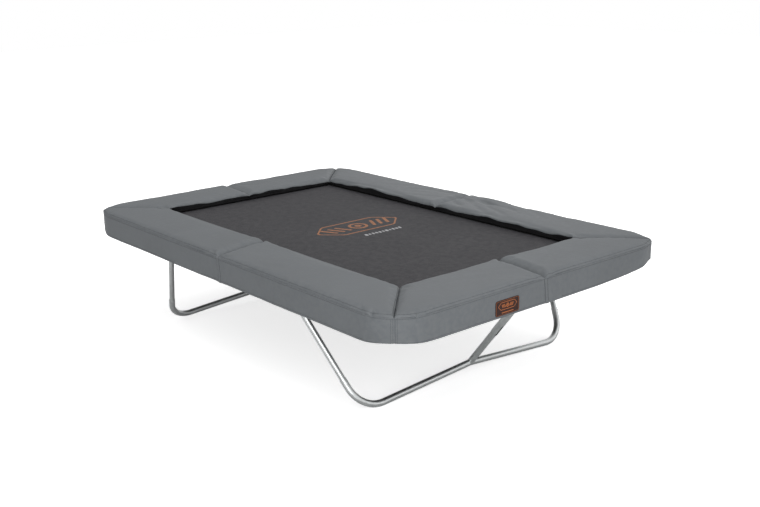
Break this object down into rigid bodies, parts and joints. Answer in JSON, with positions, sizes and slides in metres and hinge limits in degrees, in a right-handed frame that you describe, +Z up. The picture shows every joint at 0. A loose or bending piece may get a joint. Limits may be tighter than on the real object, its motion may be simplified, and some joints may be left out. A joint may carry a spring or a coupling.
{
  "type": "rectangular trampoline",
  "caption": "Rectangular garden trampoline with a bent tube frame, sprung woven mat and padded edge covers with hanging skirts.",
  "frame": {"origin": "on the ground, under the middle of the frame", "axes": "+X along the long side towards the end with the badge, +Y along the short side, +Z up"},
  "size_m": [3.92, 2.67, 0.9047],
  "materials": {
    "galvanised_steel": "satin",
    "spring_steel": "satin",
    "fastener_steel": "satin",
    "button_steel": "gloss",
    "mat_fabric": "matte",
    "webbing": "matte",
    "print_ink": "matte",
    "pad_vinyl": "satin",
    "foam": "matte",
    "badge_vinyl": "satin"
  },
  "bodies": {
    "frame": {"badge": "badge_vinyl", "button_spring_back_left": "spring_steel", "button_spring_back_right": "spring_steel", "button_spring_front_left": "spring_steel", "button_spring_front_right": "spring_steel", "frame_corner_back_left": "galvanised_steel", "frame_corner_back_right": "galvanised_steel", "frame_corner_front_left": "galvanised_steel", "frame_corner_front_right": "galvanised_steel", "frame_rail_back_left": "galvanised_steel", "frame_rail_back_right": "galvanised_steel", "frame_rail_end_left": "galvanised_steel", "frame_rail_end_right": "galvanised_steel", "frame_rail_front_left": "galvanised_steel", "frame_rail_front_right": "galvanised_steel", "frame_screws": "fastener_steel", "frame_spigots": "galvanised_steel", "ground_tube_back_left": "galvanised_steel", "ground_tube_back_right": "galvanised_steel", "ground_tube_front_left": "galvanised_steel", "ground_tube_front_right": "galvanised_steel", "ground_yoke_left": "galvanised_steel", "ground_yoke_right": "galvanised_steel", "leg_back_left": "galvanised_steel", "leg_back_right": "galvanised_steel", "leg_bolts": "fastener_steel", "leg_front_left": "galvanised_steel", "leg_front_right": "galvanised_steel", "leg_sockets": "galvanised_steel", "pad_back_left": "pad_vinyl", "pad_back_right": "pad_vinyl", "pad_foam": "foam", "pad_front_left": "pad_vinyl", "pad_front_right": "pad_vinyl", "pad_left_back": "pad_vinyl", "pad_left_front": "pad_vinyl", "pad_right_back": "pad_vinyl", "pad_right_front": "pad_vinyl", "pad_straps": "webbing", "spring_eyes_back": "galvanised_steel", "spring_eyes_front": "galvanised_steel", "spring_eyes_left": "galvanised_steel", "spring_eyes_right": "galvanised_steel", "springs_back": "spring_steel", "springs_front": "spring_steel", "springs_left": "spring_steel", "springs_right": "spring_steel", "strut_sockets": "galvanised_steel"},
    "mat": {"jump_mat": "mat_fabric", "mat_hem": "webbing", "mat_print": "print_ink", "v_rings_back": "spring_steel", "v_rings_front": "spring_steel", "v_rings_left": "spring_steel", "v_rings_right": "spring_steel"},
    "snap_button_front_left": {"snap_button_front_left": "button_steel"},
    "snap_button_front_right": {"snap_button_front_right": "button_steel"},
    "snap_button_back_left": {"snap_button_back_left": "button_steel"},
    "snap_button_back_right": {"snap_button_back_right": "button_steel"}
  },
  "joints": [
    {"name": "mat_bounce", "type": "slide", "parent": "frame", "child": "mat", "axis": [0, 0, 1], "range_m": [-0.3, 0], "stiffness_N_per_m": 6500, "springref_m": 0.01, "deforming": ["springs_front", "springs_back", "springs_left", "springs_right"]},
    {"name": "button_press_front_left", "type": "slide", "parent": "frame", "child": "snap_button_front_left", "axis": [-0.7748, -0.5449, 0.3205], "range_m": [-0.005, 0], "stiffness_N_per_m": 600, "springref_m": 0.004, "deforming": ["button_spring_front_left"]},
    {"name": "button_press_front_right", "type": "slide", "parent": "frame", "child": "snap_button_front_right", "axis": [0.7748, -0.5449, 0.3205], "range_m": [-0.005, 0], "stiffness_N_per_m": 600, "springref_m": 0.004, "deforming": ["button_spring_front_right"]},
    {"name": "button_press_back_left", "type": "slide", "parent": "frame", "child": "snap_button_back_left", "axis": [-0.7748, 0.5449, 0.3205], "range_m": [-0.005, 0], "stiffness_N_per_m": 600, "springref_m": 0.004, "deforming": ["button_spring_back_left"]},
    {"name": "button_press_back_right", "type": "slide", "parent": "frame", "child": "snap_button_back_right", "axis": [0.7748, 0.5449, 0.3205], "range_m": [-0.005, 0], "stiffness_N_per_m": 600, "springref_m": 0.004, "deforming": ["button_spring_back_right"]}
  ]
}
